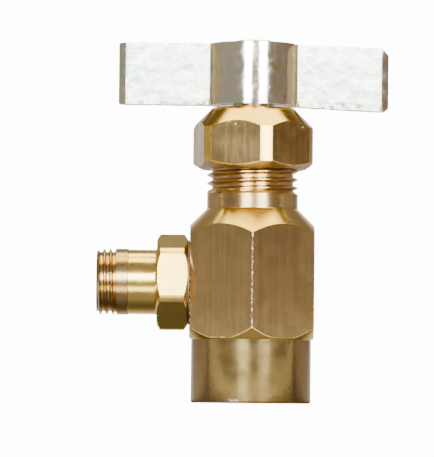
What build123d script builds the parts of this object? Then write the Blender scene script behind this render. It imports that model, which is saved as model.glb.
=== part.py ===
from build123d import *
import math
import os

# Brass needle valve, angle pattern. Millimetres, +Z up along the stem, origin at the centre of the
# inlet boss's lower face. The side outlet points to -X and the handle lies along X. The valve is
# shut at rest. Every thread is a plain cylinder here: outside threads at their crest, inside threads
# at their crest too where a stranger's thread goes in, and a fit wider than their mate elsewhere.

# Fits
RUNNING_FIT = 0.06  # radial clearance of the stem's thread and of the needle's shank
SLIDING_FIT = 0.03  # radial clearance of packing and seals on the stem and in their chamber
LOOSE_FIT = 0.10  # radial clearance of the nut, gland and washers round the stem
THREAD_FIT = 0.05  # radial clearance of a screwed pair that doesn't move
GROOVE_FIT = 0.05  # clearance of the needle's retainer and ball
FACE_GAP = 0.02  # axial clearance between stacked rings
NEEDLE_END_GAP = 0.3  # between the needle's collar and the foot of the stem

# Body, from a hexagon bar
HEX_FLATS = 30.0
HEX_HEIGHT = 31.35
HEX_CORNER_ANGLE = -90.0  # one corner faces -Y
BOSS_RADIUS = 14.5
BOSS_HEIGHT = 15.5
EDGE_BREAK = 0.4
LOWER_CHAMFER_RADIUS = 15.25
LOWER_CHAMFER_HEIGHT = 2.5
NECK_RADIUS = 11.0  # M22 x 2
NECK_HEIGHT = 17.15
NECK_CHAMFER = 0.8

# Inlet, G 1/2 inside thread
INLET_RADIUS = 9.3155
INLET_MOUTH = 1.2
INLET_DEPTH = 15.0
DRILL_HALF_ANGLE = math.radians(59)

# Seat and needle
SEAT_RADIUS = 2.5
SEAT_HEIGHT = 23.0
SEAT_BEVEL = 0.5
SEAT_GAP = 0.03
NEEDLE_HALF_ANGLE = math.radians(20)
NEEDLE_TIP_RADIUS = 0.5
NEEDLE_RADIUS = 3.2
NEEDLE_SHANK_RADIUS = 1.8
NEEDLE_SHANK_LENGTH = 6.8
CHAMBER_RADIUS = 5.2

# Stem
STEM_THREAD_RADIUS = 6.0  # M12 x 1.5
STEM_THREAD_BOTTOM = 35.0
STEM_THREAD_LENGTH = 9.5
STEM_PITCH = 1.5
STEM_TURNS = 2
STEM_RADIUS = 5.0
STEM_FOOT_RADIUS = 4.2
STEM_FOOT_BOTTOM = 31.5
SQUARE_TO_SHANK = 1.4  # width of the square over the shank's radius, so its corners stay inside
STEM_SPIGOT_RADIUS = 3.4
PEEN_RADIUS = 4.5
PEEN_HEIGHT = 0.4
RETAINER_WIRE = 0.35
RETAINER_RISE = 2.5  # above the foot of the stem

# Packing
PACKING_RADIUS = 8.0
PACKING_WASHER_HEIGHT = 1.5
PACKING_RING_HEIGHT = 3.0
PACKING_RINGS = ("lower", "middle", "upper")
PACKING_VEE = 0.8
THREAD_RUNOUT = 1.0
GLAND_FLANGE_RADIUS = 9.2
GLAND_FLANGE_HEIGHT = 1.4

# Packing nut
NUT_FLATS = 27.0
NUT_TURNED_RADIUS = 14.8
NUT_HEIGHT = 14.8
NUT_CORNER_ANGLE = -77.3
NUT_RISE = 9.55  # above the foot of the neck
NUT_ROOF = 5.0
NUT_TOP_RADIUS = 9.9
NUT_LOWER_RADIUS = 12.6
NUT_LOWER_CHAMFER = 1.4
WIPER_WIRE = 0.8
WIPER_DEPTH = 1.9  # middle of the wiper below the nut's top

# Handle
HANDLE_GAP = 0.6
HANDLE_HEIGHT = 15.0
HANDLE_SPAN = 65.5
HANDLE_CORNER = 1.6
STRIP_THICKNESS = 2.0
PLY_GAP = 0.2
HUB_RADIUS = 8.5
BAND_BEND = 0.8
BAND_SEAM = 0.4
HANDLE_WASHER_RADIUS = 5.5
HANDLE_WASHER_THICKNESS = 0.5

# Outlet adapter, screwed into a G 1/4 side port, with an M16 x 1.5 outside thread
OUTLET_HEIGHT = 29.0
PORT_RADIUS = 6.5785
PORT_WALL = 1.6  # left between the port's floor and the chamber
PASSAGE_RADIUS = 3.0
STUB_END_GAP = 0.6
SEAL_THICKNESS = 0.4
SEAL_INSET = 0.1  # edge of the washer inside the edge of the collar's face
COLLAR_FLATS = 21.0
COLLAR_TURNED_RADIUS = 11.65
COLLAR_LENGTH = 7.5
COLLAR_CORNER_ANGLE = -20.9
COLLAR_FACE_RADIUS = 10.3
COLLAR_CHAMFER_SLOPE = math.radians(32)  # from the collar's faces
REDUCED_RADIUS = 7.8
REDUCED_LENGTH = 6.8
OUTLET_THREAD_RADIUS = 8.0
OUTLET_THREAD_LENGTH = 7.7
OUTLET_CHAMFER = 0.6
OUTLET_BORE_RADIUS = 4.0
OUTLET_BORE_DEPTH = 15.0
OUTLET_CONE_RADIUS = 5.6
OUTLET_CONE_DEPTH = 2.8

# Heights that follow from the sizes above
NECK_FOOT = BOSS_HEIGHT + HEX_HEIGHT
NECK_TOP = NECK_FOOT + NECK_HEIGHT
STEM_TRAVEL = STEM_PITCH * STEM_TURNS
STEM_THREAD_TOP = STEM_THREAD_BOTTOM + STEM_THREAD_LENGTH
PACKING_FLOOR = STEM_THREAD_TOP + STEM_TRAVEL + THREAD_RUNOUT
PACKING_START = PACKING_FLOOR + PACKING_WASHER_HEIGHT + FACE_GAP
NUT_BOTTOM = NECK_FOOT + NUT_RISE
NUT_TOP = NUT_BOTTOM + NUT_HEIGHT
NUT_CEILING = NUT_TOP - NUT_ROOF
HANDLE_BOTTOM = NUT_TOP + HANDLE_GAP
HANDLE_TOP = HANDLE_BOTTOM + HANDLE_HEIGHT
HANDLE_WASHER_TOP = HANDLE_TOP + HANDLE_WASHER_THICKNESS
NEEDLE_SHOULDER = STEM_FOOT_BOTTOM - NEEDLE_END_GAP
SHANK_TOP = NEEDLE_SHOULDER + NEEDLE_SHANK_LENGTH
STEM_BORE_RADIUS = NEEDLE_SHANK_RADIUS + RUNNING_FIT
STEM_SQUARE = STEM_RADIUS * SQUARE_TO_SHANK
BALL_RADIUS = NEEDLE_SHANK_RADIUS - GROOVE_FIT
BALL_HEIGHT = SHANK_TOP + FACE_GAP + BALL_RADIUS
STEM_BORE_TOP = BALL_HEIGHT + BALL_RADIUS + FACE_GAP
RETAINER_HEIGHT = STEM_FOOT_BOTTOM + RETAINER_RISE
GROOVE_HALF = RETAINER_WIRE + GROOVE_FIT

# Distances out from the body's flat, along the outlet
PORT_DEPTH = HEX_FLATS / 2 - CHAMBER_RADIUS - PORT_WALL
COLLAR_END = SEAL_THICKNESS + COLLAR_LENGTH
REDUCED_END = COLLAR_END + REDUCED_LENGTH
OUTLET_END = REDUCED_END + OUTLET_THREAD_LENGTH

OUTLET = Plane(origin=(-HEX_FLATS / 2, 0, OUTLET_HEIGHT), x_dir=(0, -1, 0), z_dir=(-1, 0, 0))


def turned(*corners):
    """Solid of revolution about Z from (radius, height) corners."""
    outline = Plane.XZ * make_face(Polyline(*corners, close=True))
    return revolve(outline, Axis.Z)


def ring(inner, outer, bottom, top):
    """Plain ring about Z."""
    return turned((inner, bottom), (outer, bottom), (outer, top), (inner, top))


def hexagon_bar(flats, corner_angle, bottom, top):
    """Hexagon prism about Z with one corner at the given angle."""
    section = RegularPolygon(flats / 2, 6, major_radius=False, rotation=corner_angle)
    return Pos(0, 0, bottom) * extrude(section, top - bottom)


def corner_radius(flats):
    """Distance from the axis to a hexagon's corners."""
    return flats / math.sqrt(3)


def wire_ring(middle_radius, wire_radius, height):
    """Ring of round section about Z."""
    return Pos(0, 0, height) * Torus(middle_radius, wire_radius)


def body_outside():
    """Turned boss, neck and chamfers on the hexagon bar."""
    corner = corner_radius(HEX_FLATS)
    blank = turned(
        (0, 0),
        (BOSS_RADIUS - EDGE_BREAK, 0),
        (BOSS_RADIUS, EDGE_BREAK),
        (BOSS_RADIUS, BOSS_HEIGHT),
        (LOWER_CHAMFER_RADIUS, BOSS_HEIGHT),
        (corner, BOSS_HEIGHT + LOWER_CHAMFER_HEIGHT),
        (corner, NECK_FOOT - (corner - NECK_RADIUS)),
        (NECK_RADIUS, NECK_FOOT),
        (NECK_RADIUS, NECK_TOP - NECK_CHAMFER),
        (NECK_RADIUS - NECK_CHAMFER, NECK_TOP),
        (0, NECK_TOP),
    )
    return blank & hexagon_bar(HEX_FLATS, HEX_CORNER_ANGLE, 0, NECK_TOP)


def body_inside():
    """Inlet, seat, chamber, stem thread and packing chamber, as one turned core."""
    drill_end = INLET_DEPTH + (INLET_RADIUS - SEAT_RADIUS) / math.tan(DRILL_HALF_ANGLE)
    stem_bore = STEM_THREAD_RADIUS + RUNNING_FIT
    return turned(
        (0, 0),
        (INLET_RADIUS + INLET_MOUTH, 0),
        (INLET_RADIUS, INLET_MOUTH),
        (INLET_RADIUS, INLET_DEPTH),
        (SEAT_RADIUS, drill_end),
        (SEAT_RADIUS, SEAT_HEIGHT - SEAT_BEVEL),
        (SEAT_RADIUS + SEAT_BEVEL, SEAT_HEIGHT),
        (CHAMBER_RADIUS, SEAT_HEIGHT),
        (CHAMBER_RADIUS, STEM_THREAD_BOTTOM - THREAD_RUNOUT),
        (stem_bore, STEM_THREAD_BOTTOM - THREAD_RUNOUT),
        (stem_bore, PACKING_FLOOR),
        (PACKING_RADIUS, PACKING_FLOOR),
        (PACKING_RADIUS, NECK_TOP),
        (0, NECK_TOP),
    )


def side_port():
    """Tapped port and drilled passage from the body's flat to the chamber."""
    port = turned(
        (0, 0),
        (PORT_RADIUS + THREAD_FIT + EDGE_BREAK, 0),
        (PORT_RADIUS + THREAD_FIT, -EDGE_BREAK),
        (PORT_RADIUS + THREAD_FIT, -PORT_DEPTH),
        (PASSAGE_RADIUS, -PORT_DEPTH),
        (PASSAGE_RADIUS, -HEX_FLATS / 2),
        (0, -HEX_FLATS / 2),
    )
    return OUTLET * port


def valve_body():
    return body_outside() - body_inside() - side_port()


def outlet_seal_washer():
    return OUTLET * ring(PORT_RADIUS + LOOSE_FIT, COLLAR_FACE_RADIUS - SEAL_INSET, 0, SEAL_THICKNESS)


def adapter_outside():
    """Stub, hexagon collar, reduced part and outside thread, about the outlet's axis."""
    collar_chamfer = (COLLAR_TURNED_RADIUS - COLLAR_FACE_RADIUS) * math.tan(COLLAR_CHAMFER_SLOPE)
    collar = turned(
        (0, SEAL_THICKNESS),
        (COLLAR_FACE_RADIUS, SEAL_THICKNESS),
        (COLLAR_TURNED_RADIUS, SEAL_THICKNESS + collar_chamfer),
        (COLLAR_TURNED_RADIUS, COLLAR_END - collar_chamfer),
        (COLLAR_FACE_RADIUS, COLLAR_END),
        (0, COLLAR_END),
    )
    collar &= hexagon_bar(COLLAR_FLATS, COLLAR_CORNER_ANGLE, 0, COLLAR_END)
    stub_end = STUB_END_GAP - PORT_DEPTH
    turned_parts = turned(
        (0, stub_end),
        (PORT_RADIUS - OUTLET_CHAMFER, stub_end),
        (PORT_RADIUS, stub_end + OUTLET_CHAMFER),
        (PORT_RADIUS, COLLAR_END / 2),
        (REDUCED_RADIUS, COLLAR_END / 2),
        (REDUCED_RADIUS, REDUCED_END),
        (OUTLET_THREAD_RADIUS, REDUCED_END),
        (OUTLET_THREAD_RADIUS, OUTLET_END - OUTLET_CHAMFER),
        (OUTLET_THREAD_RADIUS - OUTLET_CHAMFER, OUTLET_END),
        (0, OUTLET_END),
    )
    return collar + turned_parts


def adapter_inside():
    """Flow bore, wider at the outlet, with a sealing cone at its mouth."""
    return turned(
        (0, -PORT_DEPTH),
        (PASSAGE_RADIUS, -PORT_DEPTH),
        (PASSAGE_RADIUS, OUTLET_END - OUTLET_BORE_DEPTH),
        (OUTLET_BORE_RADIUS, OUTLET_END - OUTLET_BORE_DEPTH),
        (OUTLET_BORE_RADIUS, OUTLET_END - OUTLET_CONE_DEPTH),
        (OUTLET_CONE_RADIUS, OUTLET_END),
        (0, OUTLET_END),
    )


def outlet_adapter():
    return OUTLET * (adapter_outside() - adapter_inside())


def needle():
    """Cone, collar and grooved shank. The cone's edge meets the lower edge of the seat's bevel."""
    slope = math.tan(NEEDLE_HALF_ANGLE)
    line = SEAT_HEIGHT - SEAT_BEVEL
    contact = SEAT_RADIUS - SEAT_GAP
    groove = NEEDLE_SHANK_RADIUS - RETAINER_WIRE - GROOVE_FIT
    return turned(
        (0, line - (contact - NEEDLE_TIP_RADIUS) / slope),
        (NEEDLE_TIP_RADIUS, line - (contact - NEEDLE_TIP_RADIUS) / slope),
        (NEEDLE_RADIUS, line + (NEEDLE_RADIUS - contact) / slope),
        (NEEDLE_RADIUS, NEEDLE_SHOULDER),
        (NEEDLE_SHANK_RADIUS, NEEDLE_SHOULDER),
        (NEEDLE_SHANK_RADIUS, RETAINER_HEIGHT - GROOVE_HALF),
        (groove, RETAINER_HEIGHT - GROOVE_HALF),
        (groove, RETAINER_HEIGHT + GROOVE_HALF),
        (NEEDLE_SHANK_RADIUS, RETAINER_HEIGHT + GROOVE_HALF),
        (NEEDLE_SHANK_RADIUS, SHANK_TOP),
        (0, SHANK_TOP),
    )


def thrust_ball():
    return Pos(0, 0, BALL_HEIGHT) * Sphere(BALL_RADIUS)


def needle_retainer():
    return wire_ring(NEEDLE_SHANK_RADIUS, RETAINER_WIRE, RETAINER_HEIGHT)


def stem_outside():
    """Foot, thread, plain shank, square and peened end."""
    spindle = turned(
        (0, STEM_FOOT_BOTTOM),
        (STEM_FOOT_RADIUS, STEM_FOOT_BOTTOM),
        (STEM_FOOT_RADIUS, STEM_THREAD_BOTTOM),
        (STEM_THREAD_RADIUS - NECK_CHAMFER, STEM_THREAD_BOTTOM),
        (STEM_THREAD_RADIUS, STEM_THREAD_BOTTOM + NECK_CHAMFER),
        (STEM_THREAD_RADIUS, STEM_THREAD_TOP - NECK_CHAMFER),
        (STEM_THREAD_RADIUS - NECK_CHAMFER, STEM_THREAD_TOP),
        (STEM_RADIUS, STEM_THREAD_TOP),
        (STEM_RADIUS, HANDLE_BOTTOM),
        (0, HANDLE_BOTTOM),
    )
    square = Pos(0, 0, HANDLE_BOTTOM) * extrude(Rectangle(STEM_SQUARE, STEM_SQUARE), HANDLE_HEIGHT)
    end = turned(
        (0, HANDLE_TOP),
        (STEM_SPIGOT_RADIUS, HANDLE_TOP),
        (STEM_SPIGOT_RADIUS, HANDLE_WASHER_TOP),
        (PEEN_RADIUS, HANDLE_WASHER_TOP),
        (PEEN_RADIUS - PEEN_HEIGHT, HANDLE_WASHER_TOP + PEEN_HEIGHT),
        (0, HANDLE_WASHER_TOP + PEEN_HEIGHT),
    )
    return spindle + square + end


def stem_inside():
    """Bore for the needle's shank and the ball, with the retainer's groove."""
    groove = STEM_BORE_RADIUS + RETAINER_WIRE
    return turned(
        (0, STEM_FOOT_BOTTOM),
        (STEM_BORE_RADIUS, STEM_FOOT_BOTTOM),
        (STEM_BORE_RADIUS, RETAINER_HEIGHT - GROOVE_HALF),
        (groove, RETAINER_HEIGHT - GROOVE_HALF),
        (groove, RETAINER_HEIGHT + GROOVE_HALF),
        (STEM_BORE_RADIUS, RETAINER_HEIGHT + GROOVE_HALF),
        (STEM_BORE_RADIUS, STEM_BORE_TOP),
        (0, STEM_BORE_TOP),
    )


def stem():
    return stem_outside() - stem_inside()


def packing_washer():
    return ring(STEM_RADIUS + LOOSE_FIT, PACKING_RADIUS - SLIDING_FIT, PACKING_FLOOR,
                PACKING_FLOOR + PACKING_WASHER_HEIGHT)


def packing_section():
    """Inner, middle and outer radius of a packing ring."""
    inner = STEM_RADIUS + SLIDING_FIT
    outer = PACKING_RADIUS - SLIDING_FIT
    return inner, (inner + outer) / 2, outer


def packing_ring(bottom, lower_vee):
    """Ring whose top is a ridge, and whose underside is the same ridge's hollow or flat."""
    inner, middle, outer = packing_section()
    top = bottom + PACKING_RING_HEIGHT - FACE_GAP
    return turned(
        (inner, bottom),
        (middle, bottom + lower_vee),
        (outer, bottom),
        (outer, top),
        (middle, top + PACKING_VEE),
        (inner, top),
    )


def packing_ring_bottom(index):
    return PACKING_START + index * PACKING_RING_HEIGHT


def gland():
    """Follower with a hollow that takes the top ring's ridge, and a flange under the nut's roof."""
    ring_inner, middle, ring_outer = packing_section()
    inner = STEM_RADIUS + LOOSE_FIT
    outer = PACKING_RADIUS - LOOSE_FIT
    bottom = packing_ring_bottom(len(PACKING_RINGS))
    edge = bottom + PACKING_VEE * (inner - ring_inner) / (middle - ring_inner)
    return turned(
        (inner, edge),
        (middle, bottom + PACKING_VEE),
        (outer, bottom + PACKING_VEE * (ring_outer - outer) / (ring_outer - middle)),
        (outer, NUT_CEILING - GLAND_FLANGE_HEIGHT),
        (GLAND_FLANGE_RADIUS, NUT_CEILING - GLAND_FLANGE_HEIGHT),
        (GLAND_FLANGE_RADIUS, NUT_CEILING),
        (inner, NUT_CEILING),
    )


def packing_nut():
    """Hexagon nut with a long upper cone, a thread below, and a groove for the wiper."""
    corner = NUT_TURNED_RADIUS
    outside = turned(
        (0, NUT_BOTTOM),
        (NUT_LOWER_RADIUS, NUT_BOTTOM),
        (corner, NUT_BOTTOM + NUT_LOWER_CHAMFER),
        (corner, NUT_TOP - (corner - NUT_TOP_RADIUS)),
        (NUT_TOP_RADIUS, NUT_TOP),
        (0, NUT_TOP),
    )
    outside &= hexagon_bar(NUT_FLATS, NUT_CORNER_ANGLE, NUT_BOTTOM, NUT_TOP)
    thread = NECK_RADIUS + THREAD_FIT
    hole = STEM_RADIUS + LOOSE_FIT
    groove = STEM_RADIUS + 2 * SLIDING_FIT + 2 * WIPER_WIRE
    wiper = NUT_TOP - WIPER_DEPTH
    inside = turned(
        (0, NUT_BOTTOM),
        (thread + EDGE_BREAK, NUT_BOTTOM),
        (thread, NUT_BOTTOM + EDGE_BREAK),
        (thread, NUT_CEILING),
        (hole, NUT_CEILING),
        (hole, wiper - WIPER_WIRE - SLIDING_FIT),
        (groove, wiper - WIPER_WIRE - SLIDING_FIT),
        (groove, wiper + WIPER_WIRE + SLIDING_FIT),
        (hole, wiper + WIPER_WIRE + SLIDING_FIT),
        (hole, NUT_TOP),
        (0, NUT_TOP),
    )
    return outside - inside


def stem_wiper():
    return wire_ring(STEM_RADIUS + SLIDING_FIT + WIPER_WIRE, WIPER_WIRE, NUT_TOP - WIPER_DEPTH)


def handle_hub():
    """Bush with a square hole that carries the band on the stem."""
    bush = turned(
        (0, HANDLE_BOTTOM),
        (HUB_RADIUS - SLIDING_FIT - EDGE_BREAK, HANDLE_BOTTOM),
        (HUB_RADIUS - SLIDING_FIT, HANDLE_BOTTOM + EDGE_BREAK),
        (HUB_RADIUS - SLIDING_FIT, HANDLE_TOP - EDGE_BREAK),
        (HUB_RADIUS - SLIDING_FIT - EDGE_BREAK, HANDLE_TOP),
        (0, HANDLE_TOP),
    )
    side = STEM_SQUARE + 2 * SLIDING_FIT
    hole = Pos(0, 0, HANDLE_BOTTOM) * extrude(Rectangle(side, side), HANDLE_HEIGHT)
    return bush - hole


def band_outline():
    """Plan of the folded strip: round the hub, and pressed flat with a thin gap in both wings."""
    outside = HUB_RADIUS + STRIP_THICKNESS
    outer = Circle(outside) + SlotOverall(HANDLE_SPAN, 2 * STRIP_THICKNESS + PLY_GAP)
    corners = [v for v in outer.vertices() if abs(v.X) < outside and abs(v.Y) > PLY_GAP]
    outer = fillet(corners, BAND_BEND)
    inner = Circle(HUB_RADIUS)
    inner += SlotOverall(HANDLE_SPAN - 2 * STRIP_THICKNESS, PLY_GAP)
    inner += Pos(0, HUB_RADIUS + STRIP_THICKNESS / 2) * Rectangle(BAND_SEAM, 2 * STRIP_THICKNESS)
    return outer - inner


def handle_band():
    """Strip folded at both ends into two wings, its corners rounded, with its seam at the back."""
    band = Pos(0, 0, HANDLE_BOTTOM) * extrude(band_outline(), HANDLE_HEIGHT)
    front = RectangleRounded(HANDLE_SPAN, HANDLE_HEIGHT, HANDLE_CORNER)
    depth = 4 * (HUB_RADIUS + STRIP_THICKNESS)
    middle = (HANDLE_BOTTOM + HANDLE_TOP) / 2
    return band & Pos(0, depth / 2, middle) * Rot(90, 0, 0) * extrude(front, depth)


def handle_washer():
    return ring(STEM_SPIGOT_RADIUS + SLIDING_FIT, HANDLE_WASHER_RADIUS, HANDLE_TOP,
                HANDLE_WASHER_TOP)


def nodes():
    """Every node's name with its solid."""
    rings = {
        f"packing_ring_{name}": packing_ring(packing_ring_bottom(index), PACKING_VEE * (index > 0))
        for index, name in enumerate(PACKING_RINGS)
    }
    return {
        "valve_body": valve_body(),
        "outlet_seal_washer": outlet_seal_washer(),
        "outlet_adapter": outlet_adapter(),
        "needle": needle(),
        "thrust_ball": thrust_ball(),
        "needle_retainer": needle_retainer(),
        "stem": stem(),
        "packing_washer": packing_washer(),
        **rings,
        "gland": gland(),
        "packing_nut": packing_nut(),
        "stem_wiper": stem_wiper(),
        "handle_hub": handle_hub(),
        "handle_band": handle_band(),
        "handle_washer": handle_washer(),
    }


os.makedirs("parts", exist_ok=True)
for name, solid in nodes().items():
    export_step(solid, f"parts/{name}.step")
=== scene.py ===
"""Looks of a brass angle needle valve: milled and turned brass with a plated steel wing handle."""

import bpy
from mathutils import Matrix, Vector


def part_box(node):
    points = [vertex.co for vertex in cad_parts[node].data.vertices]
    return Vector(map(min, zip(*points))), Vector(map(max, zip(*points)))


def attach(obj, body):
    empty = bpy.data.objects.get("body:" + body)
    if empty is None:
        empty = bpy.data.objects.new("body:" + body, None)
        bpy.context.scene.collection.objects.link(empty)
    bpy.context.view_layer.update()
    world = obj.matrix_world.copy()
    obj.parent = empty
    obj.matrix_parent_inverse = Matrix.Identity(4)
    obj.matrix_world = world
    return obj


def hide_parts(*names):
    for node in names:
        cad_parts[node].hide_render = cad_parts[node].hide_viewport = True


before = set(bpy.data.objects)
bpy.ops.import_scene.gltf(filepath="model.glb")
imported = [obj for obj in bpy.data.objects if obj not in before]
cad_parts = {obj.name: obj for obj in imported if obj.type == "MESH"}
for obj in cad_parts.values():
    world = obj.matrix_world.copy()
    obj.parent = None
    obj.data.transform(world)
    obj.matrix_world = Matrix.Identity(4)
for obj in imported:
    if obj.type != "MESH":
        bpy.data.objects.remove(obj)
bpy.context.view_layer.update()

import logging
import math
from dataclasses import dataclass
from enum import Enum, IntEnum

import bmesh
import bpy
from bmesh.types import BMEdge, BMesh, BMFace, BMVert
from bpy.types import Material, Node, NodeSocket, NodeTree, Object
from mathutils import Matrix, Vector, noise

LOG = logging.getLogger("needle_valve")
MM = 0.001
QUARTER_TURN = math.pi / 2
FULL_TURN = 2 * math.pi
WELD = 1e-7
FLOAT = "NodeSocketFloat"
COLOUR = "NodeSocketColor"
VECTOR = "NodeSocketVector"
Point = tuple[float, float]
Place = tuple[float, float, float]
Corner = tuple[float, float, float]
Rgba = tuple[float, float, float, float]


class Axis(Enum):
    """The two lines that the valve's turned parts are turned about."""

    STEM = "stem"
    OUTLET = "outlet"


class Body(Enum):
    """The bodies that the dressed pieces ride on."""

    VALVE = "valve"
    SPINDLE = "spindle"


class Operation(Enum):
    """What a Boolean modifier does with its tool."""

    CUT = "DIFFERENCE"
    JOIN = "UNION"


class BodySlot(IntEnum):
    """Material slots of the hexagon body."""

    FLAT = 0
    TURNED = 1
    WORN = 2
    BOSS = 3
    THREAD = 4


class OutletSlot(IntEnum):
    """Material slots of the side outlet."""

    FLAT = 0
    TURNED = 1
    WORN = 2
    THREAD = 3
    # Darker brass near the body: painted shade.
    PAINTED_SHADE = 4


class NutSlot(IntEnum):
    """Material slots of the packing nut."""

    FLAT = 0
    TURNED = 1
    # Darker brass under the nut: painted shade.
    PAINTED_SHADE = 2


class StripSlot(IntEnum):
    """Material slots of the handle's strip."""

    WING = 0
    HUB = 1


# ---------------------------------------------------------------------------------------------
# Shape helpers
# ---------------------------------------------------------------------------------------------


def arc(centre: Point, radius: float, start: float, end: float, steps: int) -> list[Point]:
    """Points along an arc.

    Args:
        centre: the arc's centre.
        radius: its radius.
        start: first angle in radians.
        end: last angle in radians.
        steps: number of chords.

    Returns:
        The points from start to end, both included.
    """
    angles = (start + (end - start) * step / steps for step in range(steps + 1))
    return [(centre[0] + radius * math.cos(a), centre[1] + radius * math.sin(a)) for a in angles]


def rounded(corners: list[Corner], chords: int) -> list[Point]:
    """Closed outline whose corners are rounded.

    Args:
        corners: (x, y, rounding) of each corner, in order, in millimetres.
        chords: chords in each rounding.

    Returns:
        The outline's points in metres.
    """
    points: list[Point] = []
    for index, (x, y, radius) in enumerate(corners):
        here = Vector((x, y))
        if radius <= 0:
            points.append((x * MM, y * MM))
            continue
        back = (Vector(corners[index - 1][:2]) - here).normalized()
        ahead = (Vector(corners[(index + 1) % len(corners)][:2]) - here).normalized()
        half = back.angle(ahead) / 2
        centre = here + (back + ahead).normalized() * radius / math.sin(half)
        first = here + back * radius / math.tan(half) - centre
        last = here + ahead * radius / math.tan(half) - centre
        start = math.atan2(first.y, first.x)
        sweep = (math.atan2(last.y, last.x) - start + math.pi) % FULL_TURN - math.pi
        for px, py in arc((centre.x, centre.y), radius, start, start + sweep, chords):
            points.append((px * MM, py * MM))
    return points


def lathe(corners: list[Corner], steps: int, chords: int = 4) -> BMesh:
    """Turns a closed outline about Z.

    Args:
        corners: (radius, height, rounding) of each corner, in order, in millimetres.
        steps: faces round the full turn.
        chords: chords in each rounding.

    Returns:
        A closed solid.
    """
    mesh = bmesh.new()
    verts = [mesh.verts.new((radius, 0, height)) for radius, height in rounded(corners, chords)]
    pairs = zip(verts, verts[1:] + verts[:1])
    edges = [mesh.edges.new(pair) for pair in pairs if max(v.co.x for v in pair) > WELD]
    bmesh.ops.spin(mesh, geom=verts + edges, cent=(0, 0, 0), axis=(0, 0, 1), dvec=(0, 0, 0),
                   angle=FULL_TURN, steps=steps, use_merge=True, use_normal_flip=False,
                   use_duplicate=False)
    bmesh.ops.remove_doubles(mesh, verts=mesh.verts, dist=WELD)
    bmesh.ops.recalc_face_normals(mesh, faces=mesh.faces)
    return mesh


def slice_off(mesh: BMesh, point: Vector, normal: Vector) -> list[BMFace]:
    """Cuts away what lies past a plane, and closes the cut.

    Args:
        mesh: the solid.
        point: a point on the plane.
        normal: the plane's direction, towards the waste.

    Returns:
        The faces that close the cut.
    """
    everything = mesh.verts[:] + mesh.edges[:] + mesh.faces[:]
    cut = bmesh.ops.bisect_plane(mesh, geom=everything, dist=WELD, plane_co=point,
                                 plane_no=normal, clear_outer=True)
    rim = [item for item in cut["geom_cut"] if isinstance(item, BMEdge)]
    return bmesh.ops.holes_fill(mesh, edges=rim, sides=0)["faces"]


def mill_flats(mesh: BMesh, flats: float, corner_angle: float, slot: int) -> None:
    """Cuts six flats on a turned blank.

    Args:
        mesh: the blank.
        flats: distance across flats in metres.
        corner_angle: direction of one corner in degrees.
        slot: material slot of the flats.
    """
    for side in range(6):
        direction = math.radians(corner_angle + 30 + 60 * side)
        normal = Vector((math.cos(direction), math.sin(direction), 0))
        for face in slice_off(mesh, normal * flats / 2, normal):
            face.material_index = slot
    bmesh.ops.recalc_face_normals(mesh, faces=mesh.faces)


def break_edges(mesh: BMesh, width: float, upright_slot: int, other_slot: int,
                sharper_than: float = 24.0) -> None:
    """Rounds the edges that milling left.

    Args:
        mesh: the solid.
        width: width of the rounding in metres.
        upright_slot: material slot of the rounded corners between the flats.
        other_slot: material slot of the other rounded edges.
        sharper_than: least angle between the faces, in degrees.
    """
    limit = math.radians(sharper_than)
    edges = [edge for edge in mesh.edges if edge.calc_face_angle(0) > limit]
    made = bmesh.ops.bevel(mesh, geom=edges, offset=width, offset_type="OFFSET", segments=2,
                           profile=0.5, affect="EDGES", clamp_overlap=False, loop_slide=True,
                           material=-1)
    for face in made["faces"]:
        face.normal_update()
        face.material_index = upright_slot if abs(face.normal.z) < 0.05 else other_slot


def helical_bar(section: list[Point], pitch: float, turns: float, start_angle: float,
                slot: int, fade: float = 0.0) -> BMesh:
    """Sweeps a closed section along a right-hand helix about Z.

    Args:
        section: (radius, height) points in metres.
        pitch: rise in one turn.
        turns: length of the helix in turns.
        start_angle: direction of its lower end in radians.
        slot: material slot of its faces.
        fade: turns at the lower end over which it leaves the work.

    Returns:
        A closed solid.
    """
    steps_per_turn = 48
    mesh = bmesh.new()
    verts = [mesh.verts.new((radius, 0, height)) for radius, height in section]
    edges = [mesh.edges.new(pair) for pair in zip(verts, verts[1:] + verts[:1])]
    count = round(turns * steps_per_turn)
    bmesh.ops.spin(mesh, geom=verts + edges, cent=(0, 0, 0), axis=(0, 0, 1),
                   dvec=(0, 0, pitch * turns / count), angle=FULL_TURN * turns, steps=count,
                   use_merge=False, use_normal_flip=False, use_duplicate=False)
    ends = [edge for edge in mesh.edges if edge.is_boundary]
    bmesh.ops.holes_fill(mesh, edges=ends, sides=0)
    bmesh.ops.recalc_face_normals(mesh, faces=mesh.faces)
    if fade > 0:
        middle = sum(height for _, height in section) / len(section)
        depth = max(radius for radius, _ in section) - min(radius for radius, _ in section)
        for vert in mesh.verts:
            along = (vert.co.z - middle) / pitch
            outward = Vector((vert.co.x, vert.co.y, 0)).normalized()
            vert.co += outward * depth * max(0.0, 1 - along / fade)
    bmesh.ops.rotate(mesh, verts=mesh.verts, cent=(0, 0, 0),
                     matrix=Matrix.Rotation(start_angle, 3, "Z"))
    for face in mesh.faces:
        face.material_index = slot
    return mesh


def square_bar(side: float, low: float, high: float) -> BMesh:
    """Upright square bar about Z.

    Args:
        side: width across flats in millimetres.
        low: height of its lower end in millimetres.
        high: height of its upper end in millimetres.

    Returns:
        A closed solid.
    """
    mesh = bmesh.new()
    centre = Vector((0, 0, (low + high) / 2 * MM))
    size = Vector((side, side, high - low)) * MM
    place = Matrix.Translation(centre) @ Matrix.Diagonal((*size, 1))
    bmesh.ops.create_cube(mesh, size=1, matrix=place)
    return mesh


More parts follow.
